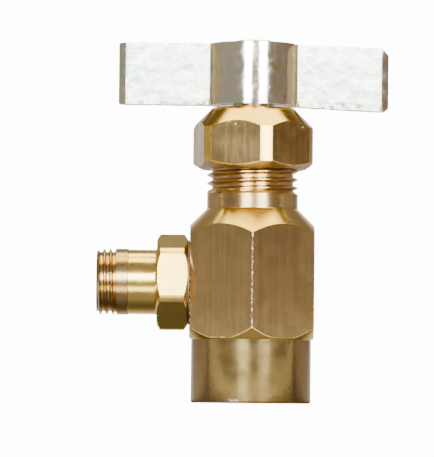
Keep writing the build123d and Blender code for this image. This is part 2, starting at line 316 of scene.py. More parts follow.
def link(name: str, mesh: BMesh, finishes: list[Material]) -> Object:
    """Makes an object of a mesh.

    Args:
        name: the object's name.
        mesh: its shape, which is freed.
        finishes: its materials in slot order.

    Returns:
        The object, at the origin.
    """
    data = bpy.data.meshes.new(name)
    mesh.to_mesh(data)
    mesh.free()
    for finish in finishes:
        data.materials.append(finish)
    made = bpy.data.objects.new(name, data)
    bpy.context.scene.collection.objects.link(made)
    return made


def bake_modifiers(thing: Object) -> None:
    """Replaces an object's mesh with the result of its modifiers."""
    graph = bpy.context.evaluated_depsgraph_get()
    result = bpy.data.meshes.new_from_object(thing.evaluated_get(graph))
    thing.modifiers.clear()
    thing.data = result


def combine(thing: Object, tools: list[BMesh], operation: Operation = Operation.CUT) -> None:
    """Cuts solids out of an object, or joins them to it.

    Args:
        thing: the object.
        tools: the solids, which are freed.
        operation: what is done with them.
    """
    finishes = list(thing.data.materials)
    tool_objects = [link(f"{thing.name}_tool", tool, finishes) for tool in tools]
    for tool_object in tool_objects:
        step = thing.modifiers.new("step", "BOOLEAN")
        step.operation = operation.value
        step.solver = "MANIFOLD"
        step.object = tool_object
    bake_modifiers(thing)
    for tool_object in tool_objects:
        bpy.data.objects.remove(tool_object)
    shape = bmesh.new()
    shape.from_mesh(thing.data)
    bmesh.ops.dissolve_degenerate(shape, dist=WELD, edges=shape.edges)
    shape.to_mesh(thing.data)
    shape.free()


def settle(thing: Object, body: Body, node: str) -> None:
    """Shades a finished piece, and hangs it on its body in place of its CAD node.

    Args:
        thing: the piece.
        body: the body it rides on.
        node: the CAD node that it stands for.
    """
    thing.data.shade_smooth()
    thing.data.set_sharp_from_angle(angle=math.radians(30))
    normals = thing.modifiers.new("even_normals", "WEIGHTED_NORMAL")
    normals.keep_sharp = True
    normals.weight = 80
    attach(thing, body.value)
    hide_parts(node)
    LOG.info("%s: %d faces, rides on %s", thing.name, len(thing.data.polygons), body.value)


# ---------------------------------------------------------------------------------------------
# Sizes shared between sub-assemblies, in millimetres
# ---------------------------------------------------------------------------------------------


@dataclass(frozen=True)
class Sizes:
    """Heights read from the frame, and the sizes that mating pieces share."""

    neck_top: float
    nut_bottom: float
    nut_top: float
    handle_bottom: float
    handle_top: float
    handle_reach: float
    outlet_height: float
    outlet_end: float
    stem_bottom: float
    stem_top: float
    body_flats: float = 30.0
    neck_radius: float = 11.0
    neck_pitch: float = 2.0
    neck_groove_height: float = 49.0
    stem_thread_radius: float = 6.0
    stem_thread_bottom: float = 35.0
    stem_thread_top: float = 44.5
    stem_pitch: float = 1.5
    stem_radius: float = 5.0
    stem_square: float = 7.0
    seal_thickness: float = 0.4
    peening_washer: float = 0.5
    thread_gap: float = 0.05

    @classmethod
    def from_frame(cls) -> "Sizes":
        """Reads the heights from the CAD nodes.

        Returns:
            The sizes.
        """
        nut_low, nut_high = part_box("packing_nut")
        band_low, band_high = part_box("handle_band")
        outlet_low, outlet_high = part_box("outlet_adapter")
        stem_low, stem_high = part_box("stem")
        return cls(
            neck_top=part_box("valve_body")[1].z / MM,
            nut_bottom=nut_low.z / MM,
            nut_top=nut_high.z / MM,
            handle_bottom=band_low.z / MM,
            handle_top=band_high.z / MM,
            handle_reach=band_high.x / MM,
            outlet_height=round((outlet_low.z + outlet_high.z) / 2 / MM, 3),
            outlet_end=-outlet_low.x / MM,
            stem_bottom=stem_low.z / MM,
            stem_top=stem_high.z / MM,
        )


SIZES = Sizes.from_frame()


@dataclass(frozen=True)
class Thread:
    """Right-hand screw thread, in millimetres, about Z."""

    crest: float
    depth: float
    pitch: float
    groove_height: float
    root_share: float = 0.30
    crest_share: float = 0.10

    def outside_groove(self, turns: float, slot: int, fade: float = 0.0,
                       start_turn: float = 0.0) -> BMesh:
        """The groove that a die cuts.

        Args:
            turns: its length.
            slot: material slot of the thread.
            fade: turns over which its lower end runs out.
            start_turn: turns past +X at which it starts.

        Returns:
            A closed solid to cut away.
        """
        half = [(self.crest - self.depth, self.pitch * self.root_share / 2),
                (self.crest, self.pitch * (1 - self.crest_share) / 2)]
        return self.groove(half, 0.5, turns, slot, fade, start_turn)

    def inside_groove(self, turns: float, slot: int, gap: float = 0.0,
                      start_turn: float = 0.0) -> BMesh:
        """The groove that a tap cuts, which holds an outside thread's ridge.

        Args:
            turns: its length.
            slot: material slot of the thread.
            gap: clearance round the ridge.
            start_turn: turns past +X at which it starts.

        Returns:
            A closed solid to cut away.
        """
        wide = self.pitch / 2
        half = [(self.crest + gap, wide * self.crest_share + gap),
                (self.crest + gap - self.depth, wide * (1 - self.root_share) + gap)]
        return self.groove(half, -0.5 - gap, turns, slot, 0.0, start_turn + 0.5)

    def groove(self, half: list[Point], clear: float, turns: float, slot: int, fade: float,
               start_turn: float) -> BMesh:
        """Sweeps a groove.

        Args:
            half: (radius, half width) at the groove's bottom and at the surface that it cuts.
            clear: how much further the section reaches past that surface.
            turns: its length.
            slot: material slot of the thread.
            fade: turns over which its lower end runs out.
            start_turn: turns past +X at which it starts.

        Returns:
            A closed solid.
        """
        surface, wide = half[-1]
        upper = half + [(surface + clear, wide)]
        outline = upper + [(radius, -height) for radius, height in reversed(upper)]
        middle = self.groove_height + self.pitch * start_turn
        section = [(radius * MM, (middle + height) * MM) for radius, height in outline]
        return helical_bar(section, self.pitch * MM, turns, FULL_TURN * (start_turn % 1), slot,
                           fade)


NECK_THREAD = Thread(SIZES.neck_radius, 1.15, SIZES.neck_pitch, SIZES.neck_groove_height)
STEM_THREAD = Thread(SIZES.stem_thread_radius, 0.8, SIZES.stem_pitch, SIZES.stem_thread_bottom)
INLET_THREAD = Thread(10.4775, 1.162, 1.814, 0.0, 0.2, 0.14)
OUTLET_THREAD = Thread(8.0, 0.85, 1.5, 0.0)
PORT_THREAD = Thread(6.5785, 0.82, 1.337, -9.0)


def lay_along_outlet(mesh: BMesh) -> BMesh:
    """Turns a solid made about Z so that its Z runs out along the outlet, from the body's flat.

    Args:
        mesh: the solid.

    Returns:
        The same solid.
    """
    columns = ((0, 0, -1), (-1, 0, 0), (0, 1, 0))
    place = Vector((-SIZES.body_flats / 2 * MM, 0, SIZES.outlet_height * MM))
    bmesh.ops.transform(mesh, verts=mesh.verts,
                        matrix=Matrix.Translation(place) @ Matrix(columns).to_4x4())
    return mesh


# ---------------------------------------------------------------------------------------------
# Shader node groups
# ---------------------------------------------------------------------------------------------


class Shader:
    """Adds and joins nodes in one node tree."""

    def __init__(self, tree: NodeTree) -> None:
        """Keeps the tree."""
        self.tree = tree

    def feed(self, target: NodeSocket, value: object) -> None:
        """Sets an input socket, or joins another socket to it."""
        if isinstance(value, NodeSocket):
            self.tree.links.new(value, target)
        else:
            target.default_value = value

    def add(self, kind: str, **settings: object) -> Node:
        """Adds a node.

        Args:
            kind: the node's type.
            settings: properties, or input sockets by name with underscores for spaces.

        Returns:
            The node.
        """
        node = self.tree.nodes.new(kind)
        for key, value in settings.items():
            if hasattr(node, key):
                setattr(node, key, value)
            else:
                self.feed(node.inputs[key.replace("_", " ")], value)
        return node

    def math(self, operation: str, first: object, second: object = 0.0) -> NodeSocket:
        """Joins two values by a Math node.

        Args:
            operation: the node's operation.
            first: a value or socket.
            second: a value or socket.

        Returns:
            The result's socket.
        """
        node = self.add("ShaderNodeMath", operation=operation)
        self.feed(node.inputs[0], first)
        self.feed(node.inputs[1], second)
        return node.outputs[0]

    def total(self, base: object, *parts: tuple[NodeSocket, object]) -> NodeSocket:
        """Adds shares of some values to a first one.

        Args:
            base: the first value or socket.
            parts: each other value's socket, and its share as a value or socket.

        Returns:
            The result's socket.
        """
        for value, share in parts:
            base = self.math("ADD", self.math("MULTIPLY", value, share), base)
        return base

    def vector(self, operation: str, first: NodeSocket, second: object) -> Node:
        """Joins two vectors by a Vector Math node.

        Args:
            operation: the node's operation.
            first: the first vector's socket.
            second: the second vector or its socket.

        Returns:
            The node.
        """
        node = self.add("ShaderNodeVectorMath", operation=operation)
        self.feed(node.inputs[0], first)
        self.feed(node.inputs[1], second)
        return node

    def ramp(self, factor: NodeSocket, low: float, high: float, first: float = 0.0,
             last: float = 1.0) -> NodeSocket:
        """Maps a value smoothly from one range to another.

        Args:
            factor: the value.
            low: value that gives first.
            high: value that gives last.
            first: result at low.
            last: result at high.

        Returns:
            The result's socket.
        """
        limits = {"From_Min": low, "From_Max": high, "To_Min": first, "To_Max": last}
        node = self.add("ShaderNodeMapRange", interpolation_type="SMOOTHSTEP", Value=factor,
                        **limits)
        return node.outputs["Result"]

    def noise(self, vector: NodeSocket, scale: object, detail: float = 3.0,
              roughness: float = 0.5) -> NodeSocket:
        """Noise value at a point.

        Args:
            vector: the point.
            scale: how fine the noise is, as a value or socket.
            detail: octaves.
            roughness: strength of the finer octaves.

        Returns:
            The value's socket.
        """
        node = self.add("ShaderNodeTexNoise", Vector=vector, Scale=scale, Detail=detail,
                        Roughness=roughness)
        return node.outputs["Fac"]

    def mix(self, factor: object, first: object, second: object,
            blend: str = "MIX") -> NodeSocket:
        """Mixes two colours.

        Args:
            factor: share of the second.
            first: a colour or socket.
            second: a colour or socket.
            blend: the way in which they are mixed.

        Returns:
            The result's socket.
        """
        node = self.add("ShaderNodeMix", data_type="RGBA", blend_type=blend)
        for index, value in ((0, factor), (6, first), (7, second)):
            self.feed(node.inputs[index], value)
        return node.outputs[2]

    def layer(self, factor: NodeSocket, below: Node, above: Node) -> Node:
        """Mixes two shaders.

        Args:
            factor: share of the second.
            below: the first shader's node.
            above: the second shader's node.

        Returns:
            The mix's node.
        """
        node = self.add("ShaderNodeMixShader", Fac=factor)
        self.feed(node.inputs[1], below.outputs[0])
        self.feed(node.inputs[2], above.outputs[0])
        return node


class Group(Shader):
    """A shared shader node group, which patterns are worked out in."""

    def __init__(self, name: str, inputs: dict[str, tuple[str, object]],
                 outputs: dict[str, str]) -> None:
        """Starts the group, with its point in space as its first input.

        Args:
            name: the group's name.
            inputs: each further input's socket type and default value, by name.
            outputs: each output's socket type, by name.
        """
        super().__init__(bpy.data.node_groups.new(name, "ShaderNodeTree"))
        face = self.tree.interface
        face.new_socket("Vector", in_out="INPUT", socket_type=VECTOR)
        for key, (kind, value) in inputs.items():
            face.new_socket(key, in_out="INPUT", socket_type=kind).default_value = value
        for key, kind in outputs.items():
            face.new_socket(key, in_out="OUTPUT", socket_type=kind)
        self.given = self.tree.nodes.new("NodeGroupInput").outputs
        self.point = self.given["Vector"]

    def close(self, **results: NodeSocket) -> NodeTree:
        """Joins the results to the outputs.

        Args:
            results: each output's value, by name.

        Returns:
            The group's node tree.
        """
        end = self.tree.nodes.new("NodeGroupOutput")
        for key, socket in results.items():
            self.feed(end.inputs[key], socket)
        return self.tree


def tool_marks_group() -> NodeTree:
    """Fine rings left by a turning tool, about the group's own Z.

    Returns:
        The group, with Height and Band outputs.
    """
    group = Group("tool_marks", {"Feed": (FLOAT, 0.12), "Wander": (FLOAT, 0.3)},
                  {"Height": FLOAT, "Band": FLOAT})
    along = group.add("ShaderNodeSeparateXYZ", Vector=group.point).outputs["Z"]
    wobble = group.math("SUBTRACT", group.noise(group.point, 180.0, 2.0), 0.5)
    lift = group.math("MULTIPLY", wobble, group.given["Wander"])
    height = group.total(lift, (along, 1 / MM))
    turns = group.math("DIVIDE", height, group.given["Feed"])
    wave = group.math("SINE", group.math("MULTIPLY", turns, FULL_TURN))
    ring = group.add("ShaderNodeCombineXYZ", Z=height).outputs["Vector"]
    band = group.noise(ring, 2.6, 4.0, 0.65)
    rough = group.noise(ring, 11.0, 3.0, 0.6)
    return group.close(Height=group.total(rough, (wave, 0.25)), Band=band)


def drawn_bar_group() -> NodeTree:
    """Long streaks and shallow dents on the flats of drawn bar, along the group's own Z.

    Returns:
        The group, with Height and Streak outputs.
    """
    group = Group("drawn_bar", {"Fineness": (FLOAT, 900.0)}, {"Height": FLOAT, "Streak": FLOAT})
    drawn = group.vector("MULTIPLY", group.point, (1.0, 1.0, 0.045)).outputs["Vector"]
    fine = group.noise(drawn, group.given["Fineness"], 4.0, 0.6)
    broad = group.noise(drawn, 420.0, 4.0, 0.65)
    dents = group.noise(group.point, 420.0, 3.0, 0.55)
    return group.close(Height=group.total(fine, (dents, 0.9)), Streak=broad)


def handling_group() -> NodeTree:
    """Stains from hands and storage, and small bright nicks.

    Returns:
        The group, with Stain, Smear and Nick outputs.
    """
    group = Group("handling", {"Nicks": (FLOAT, 0.12)},
                  {"Stain": FLOAT, "Smear": FLOAT, "Nick": FLOAT})
    warp = group.add("ShaderNodeTexNoise", Vector=group.point, Scale=90.0, Detail=2.0)
    bend = group.add("ShaderNodeVectorMath", operation="SCALE", Vector=warp.outputs["Color"],
                     Scale=0.006)
    moved = group.vector("ADD", group.point, bend.outputs["Vector"]).outputs["Vector"]
    stain = group.ramp(group.noise(moved, 75.0, 4.0, 0.55), 0.38, 0.68)
    smear = group.ramp(group.noise(moved, 240.0, 4.0, 0.5), 0.2, 0.85)
    cells = group.add("ShaderNodeTexVoronoi", Vector=moved, Scale=420.0, Randomness=1.0)
    chance = group.add("ShaderNodeTexWhiteNoise", noise_dimensions="3D",
                       Vector=cells.outputs["Position"])
    chosen = group.math("LESS_THAN", chance.outputs["Value"], group.given["Nicks"])
    spot = group.ramp(cells.outputs["Distance"], 0.10, 0.24, 1.0, 0.0)
    return group.close(Stain=stain, Smear=smear, Nick=group.math("MULTIPLY", spot, chosen))


def plating_group() -> NodeTree:
    """Uneven bright zinc with a thin film that shows faint yellow, pink and green.

    Returns:
        The group, with Colour, Dull and Height outputs.
    """
    group = Group("zinc_plating",
                  {"Metal": (COLOUR, (0.8, 0.8, 0.8, 1.0)), "Film": (FLOAT, 0.4)},
                  {"Colour": COLOUR, "Dull": FLOAT, "Height": FLOAT})
    cloud = group.noise(group.point, 130.0, 4.0, 0.6)
    film = group.add("ShaderNodeValToRGB", Fac=cloud)
    stops = film.color_ramp.elements
    stops[0].position, stops[0].color = 0.32, (0.82, 0.95, 0.60, 1.0)
    stops[1].position, stops[1].color = 0.70, (0.58, 0.90, 0.84, 1.0)
    for place, tint in ((0.44, (1.0, 1.0, 0.94, 1.0)), (0.56, (0.98, 0.78, 0.84, 1.0))):
        stops.new(place).color = tint
    tinted = group.mix(group.given["Film"], group.given["Metal"], film.outputs["Color"],
                       "MULTIPLY")
    dull = group.ramp(group.noise(group.point, 520.0, 4.0, 0.6), 0.35, 0.7)
    broad = group.noise(group.point, 240.0, 2.0, 0.5)
    grit = group.noise(group.point, 1500.0, 3.0, 0.6)
    return group.close(Colour=tinted, Dull=dull, Height=group.total(broad, (grit, 0.12)))


# ---------------------------------------------------------------------------------------------
# Finishes
# ---------------------------------------------------------------------------------------------


class Workshop:
    """Holds the shared node groups."""

    def __init__(self) -> None:
        """Builds each group once."""
        self.tool_marks = tool_marks_group()
        self.drawn_bar = drawn_bar_group()
        self.handling = handling_group()
        self.plating = plating_group()


class Surface(Shader):
    """A material whose patterns run about one of the valve's axes."""

    def __init__(self, name: str, axis: Axis = Axis.STEM) -> None:
        """Starts the material.

        Args:
            name: the material's name.
            axis: the axis that becomes the patterns' own Z.
        """
        self.material = bpy.data.materials.new(name)
        self.material.use_nodes = True
        super().__init__(self.material.node_tree)
        self.sockets = self.tree.nodes["Principled BSDF"].inputs
        self.place = self.add("ShaderNodeTexCoord").outputs["Object"]
        if axis is Axis.OUTLET:
            turn = self.add("ShaderNodeMapping", Vector=self.place,
                            Rotation=(0.0, QUARTER_TURN, 0.0),
                            Location=(-SIZES.outlet_height * MM, 0.0, 0.0))
            self.place = turn.outputs["Vector"]

    def shared(self, group: NodeTree, **values: object) -> bpy.types.NodeOutputs:
        """Places a shared node group.

        Args:
            group: the group.
            values: its inputs, other than the point that it is read at.

        Returns:
            The group's outputs.
        """
        return self.add("ShaderNodeGroup", node_tree=group, Vector=self.place, **values).outputs

    def dress(self, colour: NodeSocket, roughness: NodeSocket, height: NodeSocket,
              relief: float, depth: float, metallic: float = 1.0) -> Material:
        """Gives the surface its colour, roughness and relief.

        Args:
            colour: the base colour.
            roughness: the roughness.
            height: the relief's height.
            relief: how strongly the relief shows.
            depth: the relief's depth in metres.
            metallic: 1 for metal, 0 for anything else.

        Returns:
            The material.
        """
        bump = self.add("ShaderNodeBump", Strength=relief, Distance=depth, Height=height)
        self.feed(self.sockets["Base Color"], colour)
        self.feed(self.sockets["Roughness"], roughness)
        self.feed(self.sockets["Normal"], bump.outputs["Normal"])
        self.feed(self.sockets["Metallic"], metallic)
        return self.material


def shade(colour: Rgba, share: float) -> Rgba:
    """A lighter or darker shade of a colour."""
    return tuple(min(1.0, share * part) for part in colour[:3]) + (1.0,)


@dataclass(frozen=True)
class TurnedBrass:
    """Brass left by a lathe tool."""

    name: str
    clean: Rgba
    tarnished: Rgba
    roughness: float
    axis: Axis = Axis.STEM
    marks: float = 0.25
    stain: float = 0.7
    nicks: float = 0.10
    scuff: Place = (0.0, 0.0, 0.0)
    scuff_size: float = 0.0
    scuff_colour: Rgba = (0.95, 0.80, 0.72, 1.0)

    def build(self, shop: Workshop) -> Material:
        """Makes the material.

        Args:
            shop: the shared node groups.

        Returns:
            The material.
        """
        surface = Surface(self.name, self.axis)
        marks = surface.shared(shop.tool_marks)
        hands = surface.shared(shop.handling, Nicks=self.nicks)
        share = surface.math("MULTIPLY", hands["Stain"], self.stain)
        colour = surface.mix(share, self.clean, self.tarnished)
        colour = surface.mix(hands["Nick"], colour, shade(self.clean, 1.15))
        rough = surface.total(self.roughness - 0.07, (hands["Smear"], 0.10), (marks["Band"], 0.10))
        if self.scuff_size > 0:
            rubbed = self.rubbed(surface)
            colour = surface.mix(rubbed, colour, self.scuff_colour)
            rough = surface.total(rough, (rubbed, 0.3))
        height = surface.total(marks["Height"], (hands["Nick"], 1.5))
        return surface.dress(colour, rough, height, self.marks, 0.00003)

    def rubbed(self, surface: Surface) -> NodeSocket:
        """Ragged mask of the scuffed patch.

        Args:
            surface: the material's surface.

        Returns:
            The mask's socket.
        """
        away = surface.vector("DISTANCE", surface.place, self.scuff).outputs["Value"]
        ragged = surface.noise(surface.place, 900.0, 4.0, 0.6)
        reach = surface.total(away, (ragged, self.scuff_size))
        return surface.ramp(reach, self.scuff_size, 1.6 * self.scuff_size, 0.8, 0.0)


@dataclass(frozen=True)
class BarBrass:
    """Flats of drawn brass bar, dulled by handling."""

    name: str
    clean: Rgba
    tarnished: Rgba
    roughness: float
    axis: Axis = Axis.STEM
    relief: float = 0.35
    stain: float = 0.8
    smear: float = 0.04
    nicks: float = 0.16

    def build(self, shop: Workshop) -> Material:
        """Makes the material.

        Args:
            shop: the shared node groups.

        Returns:
            The material.
        """
        surface = Surface(self.name, self.axis)
        bar = surface.shared(shop.drawn_bar)
        hands = surface.shared(shop.handling, Nicks=self.nicks)
        streak = surface.ramp(bar["Streak"], 0.35, 0.70, 0.0, 0.60)
        share = surface.math("MINIMUM", surface.total(streak, (hands["Stain"], self.stain)), 1.0)
        colour = surface.mix(share, self.clean, self.tarnished)
        colour = surface.mix(hands["Nick"], colour, shade(self.clean, 1.3))
        rough = surface.total(self.roughness, (hands["Smear"], self.smear))
        height = surface.total(bar["Height"], (hands["Nick"], -1.2))
        return surface.dress(colour, rough, height, self.relief, 0.00006)


@dataclass(frozen=True)
class WornEdge:
    """Edge rubbed bright in places, with burrs left in others."""

    name: str
    bright: Rgba
    dark: Rgba
    roughness: float = 0.24

    def build(self, shop: Workshop) -> Material:
        """Makes the material.

        Args:
            shop: the shared node groups.

        Returns:
            The material.
        """
        surface = Surface(self.name)
        hands = surface.shared(shop.handling, Nicks=0.2)
        chips = surface.ramp(surface.noise(surface.place, 1300.0, 5.0, 0.75), 0.48, 0.56)
        colour = surface.mix(chips, self.dark, self.bright)
        rough = surface.total(self.roughness, (hands["Smear"], 0.2))
        return surface.dress(colour, rough, chips, 0.7, 0.00008)


@dataclass(frozen=True)
class ZincPlate:
    """Bright zinc on steel strip."""

    name: str
    metal: Rgba
    roughness: float
    film: float = 0.5
    relief: float = 0.5
    brushed: float = 0.0
    # Colour that glossy rays see instead of the plating: a painted reflection, left off while
    # white.
    painted_reflection: Rgba = (1.0, 1.0, 1.0, 1.0)
    stained_height: float = 0.0
    stain_colour: Rgba = (0.28, 0.29, 0.15, 1.0)

    def build(self, shop: Workshop) -> Material:
        """Makes the material.

        Args:
            shop: the shared node groups.

        Returns:
            The material.
        """
        surface = Surface(self.name)
        plate = surface.shared(shop.plating, Metal=self.metal, Film=self.film)
        hands = surface.shared(shop.handling, Nicks=0.08)
        spots = surface.math("MULTIPLY", hands["Nick"], 0.6)
        colour = surface.mix(spots, plate["Colour"], shade(self.metal, 0.55))
        if self.stained_height > 0:
            colour = surface.mix(self.edge_stain(surface), colour, self.stain_colour)
        # Painted reflection: glossy rays see the strip in this colour, so whatever mirrors it
        # darkens.
        if min(self.painted_reflection) < 1:
            rays = surface.add("ShaderNodeLightPath").outputs["Is Glossy Ray"]
            colour = surface.mix(rays, colour, self.painted_reflection)
        rough = surface.total(self.roughness, (plate["Dull"], 0.12))
        if self.brushed > 0:
            upright = surface.add("ShaderNodeCombineXYZ", Z=1.0)
            surface.feed(surface.sockets["Anisotropic"], self.brushed)
            surface.feed(surface.sockets["Anisotropic Rotation"], 0.25)
            surface.feed(surface.sockets["Tangent"], upright.outputs["Vector"])
        return surface.dress(colour, rough, plate["Height"], self.relief, 0.0002)

    def edge_stain(self, surface: Surface) -> NodeSocket:
        """Broken stain along the strip's lower edge.

        Args:
            surface: the material's surface.

        Returns:
            The mask's socket.
        """
        height = surface.add("ShaderNodeSeparateXYZ", Vector=surface.place).outputs["Z"]
        low = SIZES.handle_bottom * MM
        near = surface.ramp(height, low + 0.0003, low + self.stained_height, 1.0, 0.0)
        broken = surface.ramp(surface.noise(surface.place, 700.0, 4.0, 0.65), 0.52, 0.60)
        return surface.math("MULTIPLY", near, broken)


@dataclass(frozen=True)
class Moulded:
    """Plain moulded or pressed seal stock."""

    name: str
    colour: Rgba
    roughness: float

    def build(self, shop: Workshop) -> Material:
        """Makes the material.

        Args:
            shop: the shared node groups.

        Returns:
            The material.
        """
        surface = Surface(self.name)
        hands = surface.shared(shop.handling, Nicks=0.0)
        colour = surface.mix(hands["Smear"], self.colour, shade(self.colour, 0.8))
        rough = surface.total(self.roughness, (hands["Stain"], 0.15))
        grain = surface.noise(surface.place, 2500.0, 2.0)
        return surface.dress(colour, rough, grain, 0.2, 0.00003, metallic=0.0)


class Finishes:
    """Every material of the valve."""

    def __init__(self) -> None:
        """Builds them all."""
        shop = Workshop()
        brass = (0.92, 0.67, 0.17, 1.0)
        dull_brass = (0.76, 0.49, 0.12, 1.0)
        pale_brass = (0.95, 0.72, 0.18, 1.0)
        bar_brass = (0.76, 0.54, 0.25, 1.0)
        dull_bar = (0.56, 0.40, 0.18, 1.0)
        nut_bar = (0.76, 0.55, 0.24, 1.0)
        dull_nut = (0.54, 0.39, 0.17, 1.0)
        collar_bar = (0.82, 0.61, 0.15, 1.0)
        boss_brass = (0.40, 0.29, 0.12, 1.0)
        dull_boss = (0.34, 0.24, 0.09, 1.0)
        brown = (0.62, 0.44, 0.19, 1.0)
        golden_brown = (0.62, 0.43, 0.15, 1.0)
        dark_brown = (0.46, 0.31, 0.14, 1.0)
        # Darker copy of the turned brass for faces under the nut and by the body: painted shade.
        painted_shade_brass = (0.34, 0.23, 0.10, 1.0)
        dull_painted_shade_brass = (0.26, 0.17, 0.08, 1.0)
        old_copper = (0.30, 0.20, 0.12, 1.0)
        dull_copper = (0.20, 0.13, 0.08, 1.0)
        rubbed_brass = (0.98, 0.88, 0.66, 1.0)
        burr = (0.14, 0.09, 0.05, 1.0)
        boss_scuff = (-0.0048, -0.0137, -0.0012)
        self.body_flat = BarBrass("body_flats", bar_brass, dull_bar, 0.19, relief=0.45, stain=0.5,
                                  nicks=0.03).build(shop)
        self.body_turned = TurnedBrass("body_turned", brass, dull_brass, 0.13).build(shop)
        self.boss_turned = TurnedBrass("boss_turned", boss_brass, dull_boss, 0.15, marks=0.07,
                                       scuff=boss_scuff, scuff_size=0.0025).build(shop)
        self.nut_flat = BarBrass("nut_flats", nut_bar, dull_nut, 0.13, relief=0.6,
                                 smear=0.08).build(shop)
        self.nut_turned = TurnedBrass("nut_turned", brass, dull_brass, 0.16).build(shop)
        self.outlet_flat = BarBrass("outlet_flats", collar_bar, brass, 0.22, Axis.OUTLET,
                                    stain=0.3).build(shop)
        self.outlet_turned = TurnedBrass("outlet_turned", pale_brass, brass, 0.15, Axis.OUTLET,
                                         stain=0.4).build(shop)
        self.neck_thread = TurnedBrass("neck_thread", brown, dark_brown, 0.17).build(shop)
        self.painted_shade_brass = TurnedBrass("brass_in_painted_shade", painted_shade_brass, dull_painted_shade_brass,
                                     0.3).build(shop)
        self.outlet_thread = TurnedBrass("outlet_thread", golden_brown, dark_brown, 0.2,
                                         Axis.OUTLET).build(shop)
        self.worn_edge = WornEdge("worn_edge", rubbed_brass, burr).build(shop)
        # The wings show dark brown to glossy rays: a painted reflection in the hub and the nut.
        self.wing_zinc = ZincPlate("wing_zinc", (0.90, 1.0, 0.97, 1.0), 0.36, film=0.85,
                                   relief=1.0, brushed=0.8, painted_reflection=(0.16, 0.12, 0.07, 1.0),
                                   stained_height=0.0016).build(shop)
        self.hub_zinc = ZincPlate("hub_zinc", (0.97, 1.0, 0.86, 1.0), 0.09,
                                  relief=0.4).build(shop)
        self.stainless = ZincPlate("stainless", (0.66, 0.66, 0.65, 1.0), 0.22, film=0.0,
                                   relief=0.1).build(shop)
        self.copper = TurnedBrass("copper", old_copper, dull_copper, 0.50).build(shop)
        self.ptfe = Moulded("ptfe", (0.86, 0.86, 0.83, 1.0), 0.45).build(shop)
        self.nitrile = Moulded("nitrile", (0.03, 0.03, 0.03, 1.0), 0.5).build(shop)


# ---------------------------------------------------------------------------------------------
# Sub-assemblies
# ---------------------------------------------------------------------------------------------


